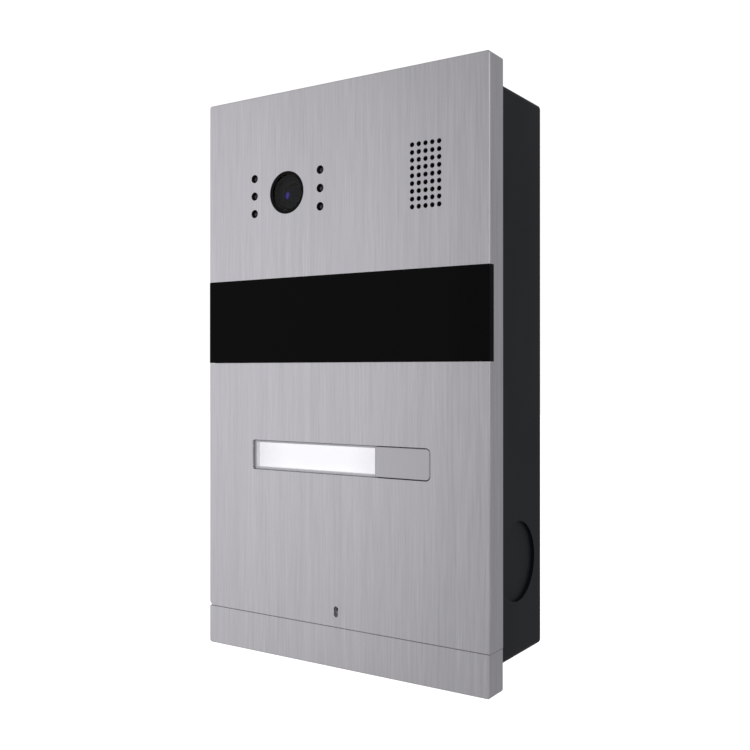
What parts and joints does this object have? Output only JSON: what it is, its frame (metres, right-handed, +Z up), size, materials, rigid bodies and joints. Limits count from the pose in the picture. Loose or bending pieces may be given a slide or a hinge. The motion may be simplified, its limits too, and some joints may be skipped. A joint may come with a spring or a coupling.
{
  "type": "door intercom panel",
  "caption": "Flush-mounted door call panel: brushed metal front with camera, reader band, speaker grille, lit name window and call button, in a moulded wall box.",
  "frame": {"origin": "centre of the wall box's rear face", "axes": "+Z up, +Y into the wall, so the front faces -Y and +X is to the viewer's right"},
  "size_m": [0.125, 0.0535, 0.215],
  "materials": {
    "plate_metal": "vertically brushed, clear anodised",
    "button_metal": "fine satin",
    "band_acrylic": "high gloss black",
    "box_plastic": "fine moulded texture",
    "cover_plastic": "fine moulded texture",
    "brass": "turned and knurled",
    "seal_foam": "closed-cell foam",
    "screw_steel": "zinc plated",
    "spring_steel": "tempered strip",
    "tape": "adhesive film",
    "copper": "flat copper trace",
    "circuit_board": "solder mask",
    "light_board": "black solder mask",
    "window_glass": "clear, tinted",
    "lens_glass": "coated",
    "barrel_black": "black anodised",
    "black_moulding": "moulded",
    "chip_black": "moulded package",
    "sensor": "silicon under glass",
    "led_lens": "smoke-clear epoxy",
    "mesh_black": "woven",
    "speaker_steel": "pressed",
    "cone_film": "pressed film",
    "magnet": "plated",
    "silicone": "soft",
    "clear_cover": "clear, polished",
    "card_white": "plain, lit from behind",
    "guide_milky": "milky",
    "white_moulding": "moulded",
    "led_white": "phosphor",
    "terminal_green": "moulded",
    "relay_blue": "moulded case",
    "capacitor_sleeve": "printed sleeve",
    "lead_red": "flexible insulation",
    "lead_black": "flexible insulation",
    "socket_white": "moulded"
  },
  "bodies": {
    "wall_box": {"back_box": "box_plastic", "box_inserts": "brass"},
    "front_unit": {"faceplate": "plate_metal", "perimeter_gasket": "seal_foam", "fixing_screws": "screw_steel", "retaining_clips": "spring_steel", "reader_window": "band_acrylic", "reader_tape": "tape", "antenna_coil": "copper", "reader_board": "circuit_board", "camera_bezel": "black_moulding", "camera_window": "window_glass", "camera_gasket": "silicone", "lens_barrel": "barrel_black", "front_lens": "lens_glass", "rear_lens": "lens_glass", "lens_mount": "black_moulding", "camera_board": "circuit_board", "image_sensor": "sensor", "camera_bracket": "black_moulding", "camera_screws": "screw_steel", "ir_leds": "led_lens", "ir_board": "light_board", "speaker_mesh": "mesh_black", "speaker_gasket": "seal_foam", "speaker_basket": "speaker_steel", "speaker_cone": "cone_film", "speaker_magnet": "magnet", "speaker_clamp": "spring_steel", "microphone": "speaker_steel", "microphone_boot": "silicone", "name_window": "clear_cover", "name_card": "card_white", "light_guide": "guide_milky", "name_housing": "white_moulding", "housing_screws": "screw_steel", "bar_gasket": "seal_foam", "backlight_leds": "led_white", "switch_board": "circuit_board", "switch_body": "chip_black", "button_springs": "spring_steel", "rear_cover": "cover_plastic", "cover_screws": "screw_steel", "main_board": "circuit_board", "board_screws": "screw_steel", "chips": "chip_black", "capacitors": "capacitor_sleeve", "relay": "relay_blue", "terminal_block": "terminal_green", "terminal_screws": "screw_steel", "lead_sockets": "socket_white", "speaker_leads": "lead_red", "microphone_leads": "lead_black"},
    "bottom_trim": {"bottom_trim": "plate_metal", "trim_clips": "spring_steel"},
    "call_button": {"call_button": "button_metal", "button_carrier": "black_moulding"},
    "switch_plunger": {"switch_plunger": "white_moulding"}
  },
  "joints": [
    {"name": "front_unit_slide", "type": "slide", "parent": "wall_box", "child": "front_unit", "axis": [0, -1, 0], "range_m": [0, 0.07]},
    {"name": "trim_slide", "type": "slide", "parent": "front_unit", "child": "bottom_trim", "axis": [0, -1, 0], "range_m": [0, 0.02]},
    {"name": "call_button_press", "type": "slide", "parent": "front_unit", "child": "call_button", "axis": [0, 1, 0], "range_m": [0, 0.0008], "stiffness_N_per_m": 1500, "springref_m": -0.0004, "deforming": ["button_springs"]},
    {"name": "switch_plunger_press", "type": "slide", "parent": "front_unit", "child": "switch_plunger", "axis": [0, 1, 0], "range_m": [0, 0.0008]}
  ],
  "couplings": [
    {"joint": "switch_plunger_press", "follows": "call_button_press", "ratio": 1}
  ]
}
